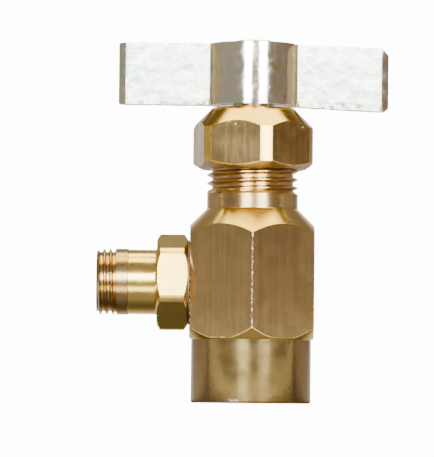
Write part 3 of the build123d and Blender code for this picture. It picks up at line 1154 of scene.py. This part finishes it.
@dataclass
class ValveBody:
    """Hexagon body with its inlet boss, neck, bores and threads."""

    finishes: Finishes
    boss_radius: float = 14.5
    boss_height: float = 15.5
    shoulder_radius: float = 15.25
    shoulder_rise: float = 2.5
    neck_foot: float = 46.85
    neck_chamfer: float = 0.9
    edge: float = 0.22
    inlet_depth: float = 15.0
    inlet_mouth: float = 1.2
    drill_angle: float = 59.0
    seat_radius: float = 2.5
    seat_height: float = 23.0
    seat_chamfer: float = 0.5
    chamber_radius: float = 5.2
    packing_floor: float = 48.5
    packing_radius: float = 8.0
    port_depth: float = 8.2
    port_chamfer: float = 0.4
    passage_radius: float = 3.0

    def blank(self) -> BMesh:
        """Turned blank with every bore about the stem.

        Returns:
            A closed solid, a little wider than the hexagon's corners.
        """
        corner = SIZES.body_flats / math.sqrt(3)
        over = corner + 1.0
        slope = self.shoulder_rise / (corner - self.shoulder_radius)
        minor = INLET_THREAD.crest - INLET_THREAD.depth
        drill_tip = (minor - self.seat_radius) / math.tan(math.radians(self.drill_angle))
        neck, top = SIZES.neck_radius, SIZES.neck_top
        return lathe([
            (minor + self.inlet_mouth, 0.0, 0.1),
            (self.boss_radius, 0.0, 0.45),
            (self.boss_radius, self.boss_height, 0.15),
            (self.shoulder_radius, self.boss_height, 0.15),
            (over, self.boss_height + slope * (over - self.shoulder_radius), 0.0),
            (over, self.neck_foot - (over - neck), 0.0),
            (neck, self.neck_foot, 0.3),
            (neck, top - self.neck_chamfer, 0.1),
            (neck - self.neck_chamfer, top, 0.1),
            (self.packing_radius, top, 0.15),
            (self.packing_radius, self.packing_floor, 0.1),
            (self.chamber_radius, self.packing_floor, 0.2),
            (self.chamber_radius, self.seat_height, 0.2),
            (self.seat_radius + self.seat_chamfer, self.seat_height, 0.05),
            (self.seat_radius, self.seat_height - self.seat_chamfer, 0.05),
            (self.seat_radius, self.inlet_depth + drill_tip, 0.1),
            (minor, self.inlet_depth, 0.2),
            (minor, self.inlet_mouth, 0.1),
        ], steps=180, chords=3)

    def port(self) -> BMesh:
        """Threaded side port and the passage behind it.

        Returns:
            A closed solid to cut away.
        """
        wide, outside = PORT_THREAD.crest + self.port_chamfer, 3.0
        passage_end = -SIZES.body_flats / 2 + 0.5
        return lay_along_outlet(lathe([
            (0.0, outside, 0.0),
            (wide, outside, 0.0),
            (wide, 0.0, 0.0),
            (PORT_THREAD.crest, -self.port_chamfer, 0.0),
            (PORT_THREAD.crest, -self.port_depth, 0.1),
            (self.passage_radius, -self.port_depth, 0.1),
            (self.passage_radius, passage_end, 0.0),
            (0.0, passage_end, 0.0),
        ], steps=72))

    def tools(self) -> list[BMesh]:
        """Threads and the side port, as solids to cut away.

        Returns:
            The solids.
        """
        stem_turns = (self.packing_floor + 1 - SIZES.stem_thread_bottom) / SIZES.stem_pitch + 1.5
        neck_turns = (SIZES.neck_top - SIZES.neck_groove_height) / SIZES.neck_pitch
        return [
            NECK_THREAD.outside_groove(neck_turns, BodySlot.THREAD, fade=0.6, start_turn=0.45),
            INLET_THREAD.inside_groove(8.0, BodySlot.BOSS, start_turn=-1.0),
            STEM_THREAD.inside_groove(stem_turns, BodySlot.TURNED, SIZES.thread_gap, -1.0),
            self.port(),
        ]

    def slot_at(self, height: float) -> BodySlot:
        """Material slot of the turned surface at a height in millimetres."""
        if height > SIZES.neck_groove_height:
            return BodySlot.THREAD
        return BodySlot.BOSS if height < self.boss_height - 0.1 else BodySlot.TURNED

    def build(self) -> None:
        """Makes and dresses the body."""
        shape = self.blank()
        for face in shape.faces:
            face.material_index = self.slot_at(face.calc_center_median().z / MM)
        mill_flats(shape, SIZES.body_flats * MM, -90.0, BodySlot.FLAT)
        break_edges(shape, self.edge * MM, BodySlot.WORN, BodySlot.TURNED, 26.0)
        finish = self.finishes
        piece = link("hexagon_body", shape, [finish.body_flat, finish.body_turned,
                                             finish.worn_edge, finish.boss_turned,
                                             finish.neck_thread])
        combine(piece, self.tools())
        settle(piece, Body.VALVE, "valve_body")


@dataclass
class OutletAdapter:
    """Side outlet with its collar, thread, stub and sealing washer."""

    finishes: Finishes
    collar_flats: float = 21.0
    collar_radius: float = 11.65
    collar_angle: float = -20.9
    collar_end: float = 7.9
    collar_face: float = 10.3
    collar_slope: float = 32.0
    # Turned faces nearer the body's flat than this take the darker brass: painted shade.
    painted_shade_end: float = 4.0
    reduced_radius: float = 7.8
    reduced_end: float = 14.7
    thread_length: float = 5.2
    end_chamfer: float = 0.7
    stub_end: float = -7.6
    stub_thread_length: float = 7.2
    stub_chamfer: float = 0.8
    relief_depth: float = 0.7
    relief_width: float = 1.6
    bore_radius: float = 4.0
    bore_depth: float = 15.0
    passage_radius: float = 3.0
    cone_radius: float = 5.6
    cone_depth: float = 2.8
    washer_radius: float = 10.2
    edge: float = 0.2

    @property
    def end(self) -> float:
        """Distance from the body's flat to the outlet's end, in millimetres."""
        return SIZES.outlet_end - SIZES.body_flats / 2

    def blank(self) -> BMesh:
        """Turned adapter about its own Z, before the collar is milled.

        Returns:
            A closed solid.
        """
        end, seal = self.end, SIZES.seal_thickness
        stub, thread = PORT_THREAD.crest, OUTLET_THREAD.crest
        rise = self.collar_radius - self.collar_face
        chamfer = rise * math.tan(math.radians(self.collar_slope))
        return lathe([
            (self.passage_radius, self.stub_end, 0.1),
            (stub - self.stub_chamfer, self.stub_end, 0.1),
            (stub, self.stub_end + self.stub_chamfer, 0.1),
            (stub, seal - self.relief_width - 0.4, 0.1),
            (stub - self.relief_depth, seal - self.relief_width, 0.1),
            (stub - self.relief_depth, seal, 0.1),
            (self.collar_face, seal, 0.1),
            (self.collar_radius, seal + chamfer, 0.15),
            (self.collar_radius, self.collar_end - chamfer, 0.15),
            (self.collar_face, self.collar_end, 0.15),
            (self.reduced_radius, self.collar_end, 0.35),
            (self.reduced_radius, self.reduced_end, 0.1),
            (thread, self.reduced_end + 0.1, 0.08),
            (thread, end - self.end_chamfer, 0.1),
            (thread - self.end_chamfer, end, 0.12),
            (self.cone_radius, end, 0.12),
            (self.bore_radius, end - self.cone_depth, 0.1),
            (self.bore_radius, end - self.bore_depth, 0.1),
            (self.passage_radius, end - self.bore_depth, 0.1),
        ], steps=144, chords=3)

    def threads(self) -> list[BMesh]:
        """Grooves of the outlet's and the stub's threads, as solids to cut away.

        Returns:
            The solids.
        """
        turns = (self.thread_length + 0.4) / OUTLET_THREAD.pitch
        start = (self.end - self.thread_length) / OUTLET_THREAD.pitch
        stub_turns = self.stub_thread_length / PORT_THREAD.pitch
        grooves = [OUTLET_THREAD.outside_groove(turns, OutletSlot.THREAD, 0.35, start),
                   PORT_THREAD.outside_groove(stub_turns, OutletSlot.THREAD)]
        return [lay_along_outlet(groove) for groove in grooves]

    def slot_at(self, out: float) -> OutletSlot:
        """Material slot of the turned surface at a distance out in millimetres."""
        if out > self.reduced_end:
            return OutletSlot.THREAD
        # Near the body the turned faces take the darker brass, a painted shade.
        return OutletSlot.PAINTED_SHADE if out < self.painted_shade_end else OutletSlot.TURNED

    def adapter(self) -> Object:
        """The adapter.

        Returns:
            The piece.
        """
        shape = self.blank()
        for face in shape.faces:
            face.material_index = self.slot_at(face.calc_center_median().z / MM)
        mill_flats(shape, self.collar_flats * MM, self.collar_angle, OutletSlot.FLAT)
        break_edges(shape, self.edge * MM, OutletSlot.WORN, OutletSlot.TURNED, 26.0)
        finish = self.finishes
        piece = link("side_outlet", lay_along_outlet(shape),
                     [finish.outlet_flat, finish.outlet_turned, finish.worn_edge,
                      finish.outlet_thread, finish.painted_shade_brass])
        combine(piece, self.threads())
        return piece

    def washer(self) -> Object:
        """Flat washer under the collar.

        Returns:
            The piece.
        """
        inner, thick = PORT_THREAD.crest + 0.1, SIZES.seal_thickness
        shape = lathe([
            (inner, 0.0, 0.1), (self.washer_radius, 0.0, 0.12),
            (self.washer_radius, thick, 0.12), (inner, thick, 0.1),
        ], steps=120)
        return link("outlet_washer", lay_along_outlet(shape), [self.finishes.copper])

    def build(self) -> None:
        """Makes and dresses the adapter and its washer."""
        settle(self.adapter(), Body.VALVE, "outlet_adapter")
        settle(self.washer(), Body.VALVE, "outlet_seal_washer")


@dataclass
class PackingNut:
    """Hexagon nut with a long cone, its thread, and the groove for the wiper in its top."""

    finishes: Finishes
    flats: float = 27.0
    turned_radius: float = 14.8
    corner_angle: float = -77.3
    edge: float = 0.16
    top_radius: float = 9.9
    lower_radius: float = 12.6
    lower_chamfer: float = 1.4
    mouth: float = 1.3
    roof: float = 5.0
    relief: float = 1.5
    stem_gap: float = 0.1
    wiper_depth: float = 1.66
    wiper_top: float = 1.07
    wiper_bottom: float = 2.73

    def blank(self) -> BMesh:
        """Turned nut, before its flats are milled.

        Returns:
            A closed solid.
        """
        bottom, top = SIZES.nut_bottom, SIZES.nut_top
        minor = NECK_THREAD.crest - NECK_THREAD.depth + 0.1
        hole = SIZES.stem_radius + self.stem_gap
        groove = SIZES.stem_radius + self.wiper_depth
        roof = top - self.roof
        return lathe([
            (minor + self.mouth, bottom, 0.1),
            (self.lower_radius, bottom, 0.2),
            (self.turned_radius, bottom + self.lower_chamfer, 0.15),
            (self.turned_radius, top - (self.turned_radius - self.top_radius), 0.15),
            (self.top_radius, top, 0.3),
            (hole, top, 0.2),
            (hole, top - self.wiper_top, 0.05),
            (groove, top - self.wiper_top, 0.1),
            (groove, top - self.wiper_bottom, 0.1),
            (hole, top - self.wiper_bottom, 0.05),
            (hole, roof, 0.1),
            (minor + self.mouth, roof, 0.2),
            (minor + self.mouth, roof - self.relief, 0.1),
            (minor, roof - self.relief - 0.5, 0.1),
            (minor, bottom + self.mouth, 0.1),
        ], steps=144, chords=3)

    def build(self) -> None:
        """Makes and dresses the nut."""
        shape = self.blank()
        # Faces below the top of the lower chamfer take the darker brass: painted shade under the
        # nut.
        chamfer_top = (SIZES.nut_bottom + self.lower_chamfer) * MM
        for face in shape.faces:
            under = face.calc_center_median().z < chamfer_top
            face.material_index = NutSlot.PAINTED_SHADE if under else NutSlot.TURNED
        mill_flats(shape, self.flats * MM, self.corner_angle, NutSlot.FLAT)
        break_edges(shape, self.edge * MM, NutSlot.TURNED, NutSlot.TURNED, 22.0)
        finish = self.finishes
        piece = link("gland_nut", shape, [finish.nut_flat, finish.nut_turned, finish.painted_shade_brass])
        start = (SIZES.nut_bottom - 2 - SIZES.neck_groove_height) / SIZES.neck_pitch
        combine(piece, [NECK_THREAD.inside_groove(5.0, NutSlot.TURNED, SIZES.thread_gap, start)])
        settle(piece, Body.VALVE, "packing_nut")


@dataclass
class Spindle:
    """Stem with its thread, square and peened end."""

    finishes: Finishes
    foot_radius: float = 4.2
    bore_radius: float = 1.86
    bore_depth: float = 10.0
    ring_low: float = 2.1
    ring_high: float = 2.9
    ring_depth: float = 0.35
    thread_chamfer: float = 0.9
    neck_depth: float = 0.3
    spigot_radius: float = 3.4
    peen_radius: float = 4.5
    peen_taper: float = 0.35
    hammering: float = 0.22

    def lower(self) -> BMesh:
        """Foot, thread and shank.

        Returns:
            A closed solid.
        """
        thread, crest, chamfer = (SIZES.stem_thread_bottom, SIZES.stem_thread_radius,
                                  self.thread_chamfer)
        bottom, shank, top = SIZES.stem_bottom, SIZES.stem_radius, SIZES.stem_thread_top
        bore, ring = self.bore_radius, self.bore_radius + self.ring_depth
        return lathe([
            (bore, bottom, 0.1),
            (self.foot_radius, bottom, 0.3),
            (self.foot_radius, thread, 0.1),
            (crest - chamfer, thread, 0.05),
            (crest, thread + chamfer, 0.1),
            (crest, top - chamfer, 0.1),
            (crest - chamfer, top, 0.05),
            (shank - self.neck_depth, top, 0.1),
            (shank - self.neck_depth, top + 1.0, 0.2),
            (shank, top + 1.0 + self.neck_depth, 0.1),
            (shank, SIZES.handle_bottom, 0.1),
            (0.0, SIZES.handle_bottom, 0.0),
            (0.0, bottom + self.bore_depth, 0.0),
            (bore, bottom + self.bore_depth, 0.1),
            (bore, bottom + self.ring_high, 0.05),
            (ring, bottom + self.ring_high, 0.05),
            (ring, bottom + self.ring_low, 0.05),
            (bore, bottom + self.ring_low, 0.05),
        ], steps=96, chords=3)

    def peen(self) -> BMesh:
        """Spigot and the head that is hammered over the washer.

        Returns:
            A closed solid.
        """
        start, top = SIZES.handle_top - 2.0, SIZES.stem_top
        head = SIZES.handle_top + SIZES.peening_washer + 0.02
        shape = lathe([
            (0.0, start, 0.0),
            (self.spigot_radius, start, 0.0),
            (self.spigot_radius, head, 0.0),
            (self.peen_radius, head, 0.08),
            (self.peen_radius - self.peen_taper, top, 0.25),
            (0.0, top, 0.0),
        ], steps=64)
        for vert in shape.verts:
            if vert.co.z > (SIZES.handle_top + 0.75) * MM:
                vert.co.z -= abs(noise.noise(vert.co / MM * 0.9)) * self.hammering * MM
        return shape

    def build(self) -> None:
        """Makes and dresses the stem."""
        piece = link("threaded_stem", self.lower(), [self.finishes.stainless])
        square = square_bar(SIZES.stem_square, SIZES.handle_bottom - 0.5, SIZES.handle_top - 0.02)
        break_edges(square, 0.25 * MM, 0, 0)
        combine(piece, [square, self.peen()], Operation.JOIN)
        turns = (SIZES.stem_thread_top - SIZES.stem_thread_bottom) / SIZES.stem_pitch + 1.5
        combine(piece, [STEM_THREAD.outside_groove(turns, 0, start_turn=-0.5)])
        settle(piece, Body.SPINDLE, "stem")


@dataclass
class Handle:
    """Folded strip handle on its bush, with the washer under the peened stem."""

    finishes: Finishes
    strip: float = 2.0
    ply_gap: float = 0.2
    hub_radius: float = 8.5
    bend: float = 0.8
    seam: float = 0.4
    edge: float = 0.22
    burr: float = 0.16
    burr_height: float = 0.6
    low_sag: float = 1.25
    high_sag: float = 0.85
    right_top_cut: float = 1.7
    right_low_cut: float = 1.1
    left_cut: float = 0.5
    square_gap: float = 0.06
    washer_inner: float = 3.43
    washer_outer: float = 5.5

    def half_route(self) -> list[Point]:
        """Middle line of the strip's right half, from the front of the hub to the seam behind.

        Returns:
            Points in millimetres.
        """
        ring = self.hub_radius + self.strip / 2
        ply = (self.strip + self.ply_gap) / 2
        bend = self.bend + self.strip / 2
        bend_y = ply + bend
        bend_x = math.sqrt((ring + bend) ** 2 - bend_y ** 2)
        leave = math.atan2(bend_y, bend_x)
        fold_x = SIZES.handle_reach - self.strip / 2 - ply
        straight_steps = 24
        front = arc((0, 0), ring, -QUARTER_TURN, -leave, 22)
        front += arc((bend_x, -bend_y), bend, math.pi - leave, QUARTER_TURN, 6)[1:]
        front += [(bend_x + (fold_x - bend_x) * step / straight_steps, -ply)
                  for step in range(1, straight_steps)]
        fold = arc((fold_x, 0), ply, -QUARTER_TURN, QUARTER_TURN, 3)
        back = [(max(x, self.seam / 2), -y) for x, y in reversed(front)]
        return front + fold + back

    def sheet(self) -> BMesh:
        """Middle surface of the whole strip.

        Returns:
            An open sheet, with no thickness.
        """
        right = self.half_route()
        route = [(-x, y) for x, y in reversed(right)] + right[1:]
        rows = 8
        bottom, top = SIZES.handle_bottom * MM, SIZES.handle_top * MM
        shape = bmesh.new()
        verts = [shape.verts.new((x * MM, y * MM, bottom)) for x, y in route]
        edges = [shape.edges.new(pair) for pair in zip(verts, verts[1:])]
        for _ in range(rows):
            grown = bmesh.ops.extrude_edge_only(shape, edges=edges)["geom"]
            lifted = [item for item in grown if isinstance(item, BMVert)]
            bmesh.ops.translate(shape, verts=lifted, vec=(0, 0, (top - bottom) / rows))
            edges = [item for item in grown if isinstance(item, BMEdge)
                     and all(vert in lifted for vert in item.verts)]
        bmesh.ops.recalc_face_normals(shape, faces=shape.faces)
        return shape

    def band(self) -> Object:
        """The folded strip.

        Returns:
            The piece.
        """
        finish = self.finishes
        piece = link("handle_strip", self.sheet(), [finish.wing_zinc, finish.hub_zinc])
        wall = piece.modifiers.new("strip", "SOLIDIFY")
        wall.thickness = self.strip * MM
        wall.offset = 0.0
        wall.use_even_offset = True
        bake_modifiers(piece)
        shape = bmesh.new()
        shape.from_mesh(piece.data)
        self.cut_corners(shape)
        self.round_edges(shape)
        self.mark_slots(shape)
        self.deform(shape)
        shape.to_mesh(piece.data)
        shape.free()
        return piece

    def cut_corners(self, shape: BMesh) -> None:
        """Cuts the wings' four corners at 45 degrees."""
        reach, low, high = SIZES.handle_reach, SIZES.handle_bottom, SIZES.handle_top
        cuts = (
            (1, 1, high - self.right_top_cut), (1, -1, low + self.right_low_cut),
            (-1, 1, high - self.left_cut), (-1, -1, low + self.left_cut),
        )
        for side, up, height in cuts:
            point = Vector((side * reach, 0, height)) * MM
            slice_off(shape, point, Vector((side, 0, up)).normalized())
        bmesh.ops.dissolve_degenerate(shape, dist=WELD, edges=shape.edges)

    def round_edges(self, shape: BMesh) -> None:
        """Rounds the edges that shearing left."""
        limit = math.radians(40)
        edges = [edge for edge in shape.edges if edge.calc_face_angle(0) > limit
                 and any(abs(face.normal.z) > 0.3 for face in edge.link_faces)]
        bmesh.ops.bevel(shape, geom=edges, offset=self.edge * MM, offset_type="OFFSET",
                        segments=2, profile=0.5, affect="EDGES", clamp_overlap=True, material=-1)

    def mark_slots(self, shape: BMesh) -> None:
        """Gives the hub and the folds the smoother finish."""
        hub = (self.hub_radius + self.strip + 0.1) * MM
        fold = (SIZES.handle_reach - self.strip - self.ply_gap / 2) * MM
        for face in shape.faces:
            wing = hub < abs(face.calc_center_median().x) < fold
            face.material_index = StripSlot.WING if wing else StripSlot.HUB

    def deform(self, shape: BMesh) -> None:
        """Leaves burrs on the lower edge, and lets the right wing sag towards its tip."""
        reach, low, high = SIZES.handle_reach, SIZES.handle_bottom, SIZES.handle_top
        for vert in shape.verts:
            lift = vert.co.z / MM - low
            ragged = abs(noise.noise(vert.co / MM * 0.55)) * self.burr
            rise = ragged * max(0.0, 1 - lift / self.burr_height)
            along = max(0.0, vert.co.x / MM - self.hub_radius) / (reach - self.hub_radius)
            share = lift / (high - low)
            sag = (self.low_sag + (self.high_sag - self.low_sag) * share) * along ** 0.7
            vert.co.z += (rise - sag) * MM

    def bush(self) -> Object:
        """Hub bush with its square hole.

        Returns:
            The piece.
        """
        low, high = SIZES.handle_bottom, SIZES.handle_top
        radius = self.hub_radius - 0.03
        shape = lathe([(0.0, low, 0.0), (radius, low, 0.4), (radius, high, 0.4),
                       (0.0, high, 0.0)], steps=120)
        piece = link("handle_bush", shape, [self.finishes.hub_zinc])
        combine(piece, [square_bar(SIZES.stem_square + self.square_gap, low - 2, high + 2)])
        return piece

    def washer(self) -> Object:
        """Washer under the peened end.

        Returns:
            The piece.
        """
        low, high = SIZES.handle_top, SIZES.handle_top + SIZES.peening_washer
        shape = lathe([
            (self.washer_inner, low, 0.05), (self.washer_outer, low, 0.1),
            (self.washer_outer, high, 0.2), (self.washer_inner, high, 0.05),
        ], steps=96)
        return link("peening_washer", shape, [self.finishes.hub_zinc])

    def build(self) -> None:
        """Makes and dresses the handle's pieces."""
        settle(self.band(), Body.SPINDLE, "handle_band")
        settle(self.bush(), Body.SPINDLE, "handle_hub")
        settle(self.washer(), Body.SPINDLE, "handle_washer")


@dataclass
class InnerParts:
    """Sealed inner pieces, which keep their CAD shape and take a finish."""

    finishes: Finishes

    def build(self) -> None:
        """Dresses them."""
        finish = self.finishes
        dress = {
            "needle": finish.stainless, "thrust_ball": finish.stainless,
            "needle_retainer": finish.stainless, "packing_washer": finish.body_turned,
            "packing_ring_lower": finish.ptfe, "packing_ring_middle": finish.ptfe,
            "packing_ring_upper": finish.ptfe, "gland": finish.body_turned,
            "stem_wiper": finish.nitrile,
        }
        for name, material in dress.items():
            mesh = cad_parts[name].data
            mesh.materials.clear()
            mesh.materials.append(material)
            LOG.info("%s: dressed in %s", name, material.name)


# ---------------------------------------------------------------------------------------------
# Studio
# ---------------------------------------------------------------------------------------------


@dataclass(frozen=True)
class SoftBox:
    """Soft lamp that faces the valve."""

    name: str
    place: Place
    width: float
    height: float
    radiance: float
    colour: tuple[float, float, float] = (1.0, 1.0, 1.0)

    def build(self, target: Vector) -> None:
        """Adds the lamp.

        Args:
            target: the point it faces.
        """
        data = bpy.data.lights.new(self.name, "AREA")
        data.shape = "RECTANGLE"
        data.size, data.size_y = self.width, self.height
        data.energy = self.radiance * math.pi * self.width * self.height
        data.color = self.colour
        place = Vector(self.place)
        facing = (target - place).to_track_quat("-Z", "Y").to_matrix().to_4x4()
        light = bpy.data.objects.new(self.name, data)
        light.matrix_world = Matrix.Translation(place) @ facing
        bpy.context.scene.collection.objects.link(light)


@dataclass
class Studio:
    """Pale floor, soft lights and the camera."""

    distance: float = 1.0
    camera_height: float = 0.003
    aim: Place = (-0.0085, 0.0, 0.0421)
    view_width: float = 0.1048
    roll: float = 0.6
    sensor: float = 36.0
    white: float = 14.0
    floor_drop: float = 0.00002
    lamp_reach: float = 0.8
    left_angle: float = -15.0
    right_angle: float = 24.5
    low_lamp: float = 0.099
    high_lamp: float = 0.275

    def camera(self) -> None:
        """Adds the camera at the viewing angle."""
        data = bpy.data.cameras.new("camera")
        data.sensor_fit = "HORIZONTAL"
        data.sensor_width = self.sensor
        data.lens = self.sensor * self.distance / self.view_width
        data.clip_start = 0.01
        eye = bpy.data.objects.new("camera", data)
        place = Vector((self.aim[0], -self.distance, self.camera_height))
        look = (Vector(self.aim) - place).to_track_quat("-Z", "Y").to_matrix().to_4x4()
        turn = Matrix.Rotation(math.radians(self.roll), 4, "Z")
        eye.matrix_world = Matrix.Translation(place) @ look @ turn
        bpy.context.scene.collection.objects.link(eye)
        bpy.context.scene.camera = eye

    def painted_reflection_view(self, shader: Shader, place: NodeSocket) -> Node:
        """The floor as polished metal sees it, a painted reflection: painted shade dark under the
        valve, and bright before it, where a painted card glows though no lamp is there.

        Args:
            shader: the floor's shader helper.
            place: the point on the floor.

        Returns:
            The glow's node.
        """
        depth = shader.add("ShaderNodeSeparateXYZ", Vector=place).outputs["Y"]
        lit_front = shader.ramp(depth, -0.022, -0.004, 1.0, 0.0)
        lit_back = shader.ramp(depth, 0.0, 0.036)
        # Painted shade: dark where the floor lies under the valve, grey before it and pale behind
        # it.
        colour = shader.mix(lit_front, (0.13, 0.11, 0.10, 1.0), (0.38, 0.33, 0.32, 1.0))
        colour = shader.mix(lit_back, colour, (1.0, 0.9, 0.9, 1.0))
        # Painted card: a band of floor before the valve that glows brightly in reflections, though
        # no lamp is there.
        painted_glow_near = shader.ramp(depth, -0.090, -0.078)
        painted_glow_far = shader.ramp(depth, -0.052, -0.042, 1.0, 0.0)
        painted_glow_card = shader.math("MULTIPLY", painted_glow_near, painted_glow_far)
        colour = shader.mix(painted_glow_card, colour, (5.0, 4.8, 3.4, 1.0))
        return shader.add("ShaderNodeEmission", Color=colour)

    def floor(self) -> None:
        """Adds the pale floor, which shades into the white round it, with a painted shade where
        its glow drops near the valve's foot.
        """
        material = bpy.data.materials.new("pale_floor")
        material.use_nodes = True
        tree = material.node_tree
        shader = Shader(tree)
        place = shader.add("ShaderNodeTexCoord").outputs["Object"]
        pale = tree.nodes["Principled BSDF"]
        pale.inputs["Base Color"].default_value = (0.92, 0.92, 0.91, 1.0)
        pale.inputs["Roughness"].default_value = 0.9
        pale.inputs["Specular IOR Level"].default_value = 0.0
        away = shader.add("ShaderNodeVectorMath", operation="LENGTH", Vector=place)
        # Near the valve's foot the glow drops to half: painted shade over the pale floor's own
        # shadow.
        glow_share_painted_shade = shader.ramp(away.outputs["Value"], 0.013, 0.030, 0.5, 1.0)
        glow = shader.add("ShaderNodeEmission", Color=(1.0, 1.0, 1.0, 1.0), Strength=self.white)
        seen = shader.layer(glow_share_painted_shade, pale, glow)
        rays = shader.add("ShaderNodeLightPath").outputs
        # Glossy rays see the floor's painted reflection in place of the pale floor.
        painted_reflection = shader.layer(rays["Is Glossy Ray"], pale, self.painted_reflection_view(shader, place))
        both = shader.layer(rays["Is Camera Ray"], painted_reflection, seen)
        shader.feed(tree.nodes["Material Output"].inputs["Surface"], both.outputs["Shader"])
        mesh = bmesh.new()
        bmesh.ops.create_grid(mesh, x_segments=1, y_segments=1, size=6.0,
                              matrix=Matrix.Translation((0, 0, -self.floor_drop)))
        link("floor", mesh, [material])

    def around(self, angle: float, reach: float, height: float) -> Place:
        """Place on a ring about the valve.

        Args:
            angle: degrees to the right of the camera.
            reach: distance from the valve.
            height: height over the floor.

        Returns:
            The place.
        """
        turn = math.radians(angle)
        return reach * math.sin(turn), -reach * math.cos(turn), height

    def lamps(self) -> None:
        """Adds soft boxes: a low and a high pair before the valve, one between, one above."""
        cream, pale, gold = (1.0, 1.0, 0.90), (1.0, 1.0, 0.70), (1.0, 0.84, 0.32)
        boxes = [
            SoftBox("front_box", self.around(2.0, 0.85, 0.30), 0.20, 0.25, 4.0, pale),
            SoftBox("top_box", (0.0, 0.10, 0.95), 1.1, 0.75, 6.0, gold),
        ]
        for side, angle, width in (("left", self.left_angle, 0.27),
                                   ("right", self.right_angle, 0.28)):
            low = self.around(angle, self.lamp_reach, self.low_lamp)
            high = self.around(angle, self.lamp_reach, self.high_lamp)
            boxes.append(SoftBox(f"{side}_box", low, width, 0.058, 10.0, cream))
            boxes.append(SoftBox(f"high_{side}_box", high, width, 0.29, 32.0))
        for box in boxes:
            box.build(Vector(self.aim))

    def surroundings(self) -> None:
        """Sets the room: white behind the valve, grey before it, and warm and dim beside it."""
        world = bpy.data.worlds.new("room")
        world.use_nodes = True
        bpy.context.scene.world = world
        shader = Shader(world.node_tree)
        way = shader.add("ShaderNodeTexCoord").outputs["Generated"]
        parts = shader.add("ShaderNodeSeparateXYZ", Vector=way).outputs
        left = shader.ramp(parts["X"], -0.5, 0.5, 1.0, 0.0)
        room = shader.mix(left, (0.24, 0.17, 0.12, 1.0), (0.35, 0.30, 0.24, 1.0))
        before = shader.ramp(parts["Y"], -0.98, -0.80, 1.0, 0.0)
        room = shader.mix(before, room, (0.27, 0.30, 0.24, 1.0))
        above = shader.ramp(parts["Z"], 0.3, 0.8)
        room = shader.mix(above, room, (0.27, 0.25, 0.31, 1.0))
        behind = shader.ramp(parts["Y"], 0.80, 0.95)
        room = shader.mix(behind, room, (1.15, 1.1, 1.2, 1.0))
        rays = shader.add("ShaderNodeLightPath").outputs["Is Camera Ray"]
        colour = shader.mix(rays, room, (self.white, self.white, self.white, 1.0))
        shader.feed(world.node_tree.nodes["Background"].inputs["Color"], colour)

    def build(self) -> None:
        """Sets up the studio."""
        self.floor()
        self.lamps()
        self.surroundings()
        self.camera()


def main() -> None:
    """Builds the valve's looks and the studio."""
    logging.basicConfig(level=logging.INFO, format="%(name)s %(message)s")
    finishes = Finishes()
    for part in (ValveBody, OutletAdapter, PackingNut, Spindle, Handle, InnerParts):
        part(finishes).build()
    Studio().build()
    bpy.context.view_layer.update()


if __name__ == "__main__":
    main()
